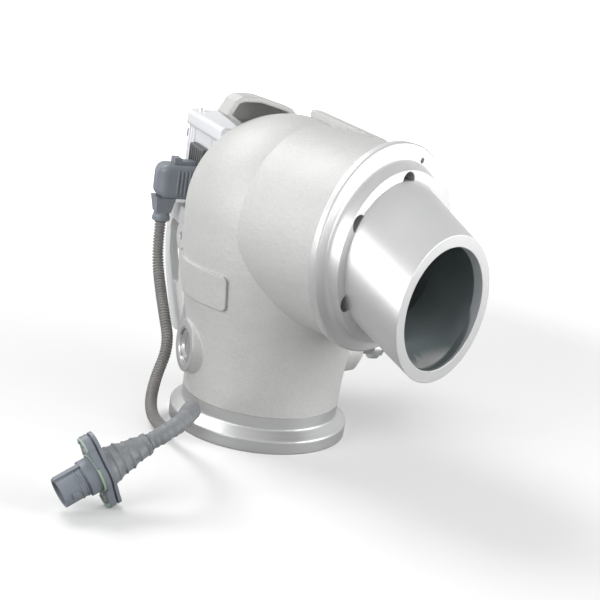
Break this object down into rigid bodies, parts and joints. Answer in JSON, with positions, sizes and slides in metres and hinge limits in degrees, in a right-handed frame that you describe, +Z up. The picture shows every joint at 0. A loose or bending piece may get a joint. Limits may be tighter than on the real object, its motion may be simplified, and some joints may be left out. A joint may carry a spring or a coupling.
{
  "type": "exhaust brake valve",
  "caption": "Exhaust brake valve: cast elbow with a butterfly in its clamped outlet leg, an angled inlet nozzle, and an electric actuator with link, bracket and flanged wiring lead.",
  "frame": {"origin": "centre of the outlet's clamp face, on which the part stands", "axes": "+Z up along the outlet leg towards the bulb, +X along the inlet barrel and nozzle, out of the inlet"},
  "size_m": [0.3229, 0.4263, 0.2685],
  "materials": {
    "cast_body": "bead-blasted casting",
    "machined_steel": "fine turned",
    "shaft_steel": "ground",
    "disc_steel": "machined, heat tinted",
    "zinc_steel": "zinc plated",
    "bronze": "plain",
    "seal_steel": "plain",
    "bracket_cast": "as cast",
    "actuator_case": "die cast, shot blasted",
    "gear_steel": "hobbed",
    "motor_steel": "plated",
    "magnet": "sintered",
    "spring_steel": "blued",
    "black_rubber": "satin",
    "circuit_board": "solder mask",
    "socket_plastic": "moulded",
    "contact_brass": "plated",
    "plug_plastic": "moulded",
    "conduit_plastic": "corrugated",
    "connector_plastic": "moulded",
    "green_seal": "moulded"
  },
  "bodies": {
    "root": {"elbow_housing": "cast_body", "inlet_flange": "machined_steel", "inlet_nozzle": "machined_steel", "idler_pin": "shaft_steel", "shaft_plug": "shaft_steel", "foot_bolts": "zinc_steel", "case_bolts": "zinc_steel", "tab_bolts": "zinc_steel", "cover_screws": "zinc_steel", "board_standoffs": "zinc_steel", "bush_near": "bronze", "bush_far": "bronze", "shaft_seal_rings": "seal_steel", "actuator_bracket": "bracket_cast", "actuator_housing": "actuator_case", "actuator_cover": "actuator_case", "output_bearings": "gear_steel", "motor_can": "motor_steel", "motor_magnets": "magnet", "return_spring": "spring_steel", "output_seal": "black_rubber", "conduit_sleeve": "black_rubber", "control_board": "circuit_board", "actuator_socket": "socket_plastic", "socket_contacts": "contact_brass", "connector_pins": "contact_brass", "harness_plug": "plug_plastic", "plug_lock": "plug_plastic", "harness_conduit": "conduit_plastic", "connector_backshell": "connector_plastic", "connector_flange": "connector_plastic", "connector_nose": "connector_plastic", "flange_seal": "green_seal"},
    "valve": {"valve_shaft": "shaft_steel", "butterfly_disc": "disc_steel", "disc_screws": "zinc_steel", "valve_lever": "zinc_steel", "valve_lever_nut": "zinc_steel", "lower_link_pin": "shaft_steel", "lower_link_clip": "zinc_steel"},
    "output": {"output_shaft": "shaft_steel", "sector_gear": "gear_steel", "output_lever": "zinc_steel", "output_lever_nut": "zinc_steel", "upper_link_pin": "shaft_steel", "upper_link_clip": "zinc_steel", "sensor_magnet": "magnet"},
    "link": {"link_rod": "zinc_steel", "link_eye_lower": "zinc_steel", "link_eye_upper": "zinc_steel", "link_locknuts": "zinc_steel"},
    "idler": {"idler_gear": "gear_steel"},
    "motor": {"motor_rotor": "motor_steel", "motor_pinion": "gear_steel"}
  },
  "joints": [
    {"name": "valve_turn", "type": "hinge", "parent": "root", "child": "valve", "pos_m": [0, 0, 0.066], "axis": [-0.4384, -0.8988, 0], "range_deg": [0, 88], "stiffness_Nm_per_rad": 0.2, "springref_deg": -20.05},
    {"name": "output_turn", "type": "hinge", "parent": "root", "child": "output", "pos_m": [-0.10067, 0.0491, 0.183], "axis": [-0.4384, -0.8988, 0], "range_deg": [0, 88]},
    {"name": "link_swing", "type": "hinge", "parent": "output", "child": "link", "pos_m": [-0.12575, 0.06133, 0.1852], "axis": [-0.4384, -0.8988, 0], "range_deg": [-88, 0]},
    {"name": "idler_turn", "type": "hinge", "parent": "root", "child": "idler", "pos_m": [-0.11613, 0.05664, 0.20758], "axis": [-0.4384, -0.8988, 0], "range_deg": [-352, 0]},
    {"name": "motor_turn", "type": "hinge", "parent": "root", "child": "motor", "pos_m": [-0.10134, 0.04943, 0.21707], "axis": [-0.4384, -0.8988, 0], "range_deg": [0, 985.6]}
  ],
  "couplings": [
    {"joint": "output_turn", "follows": "valve_turn", "ratio": 1},
    {"joint": "link_swing", "follows": "valve_turn", "ratio": -1},
    {"joint": "idler_turn", "follows": "valve_turn", "ratio": -4},
    {"joint": "motor_turn", "follows": "valve_turn", "ratio": 11.2}
  ]
}
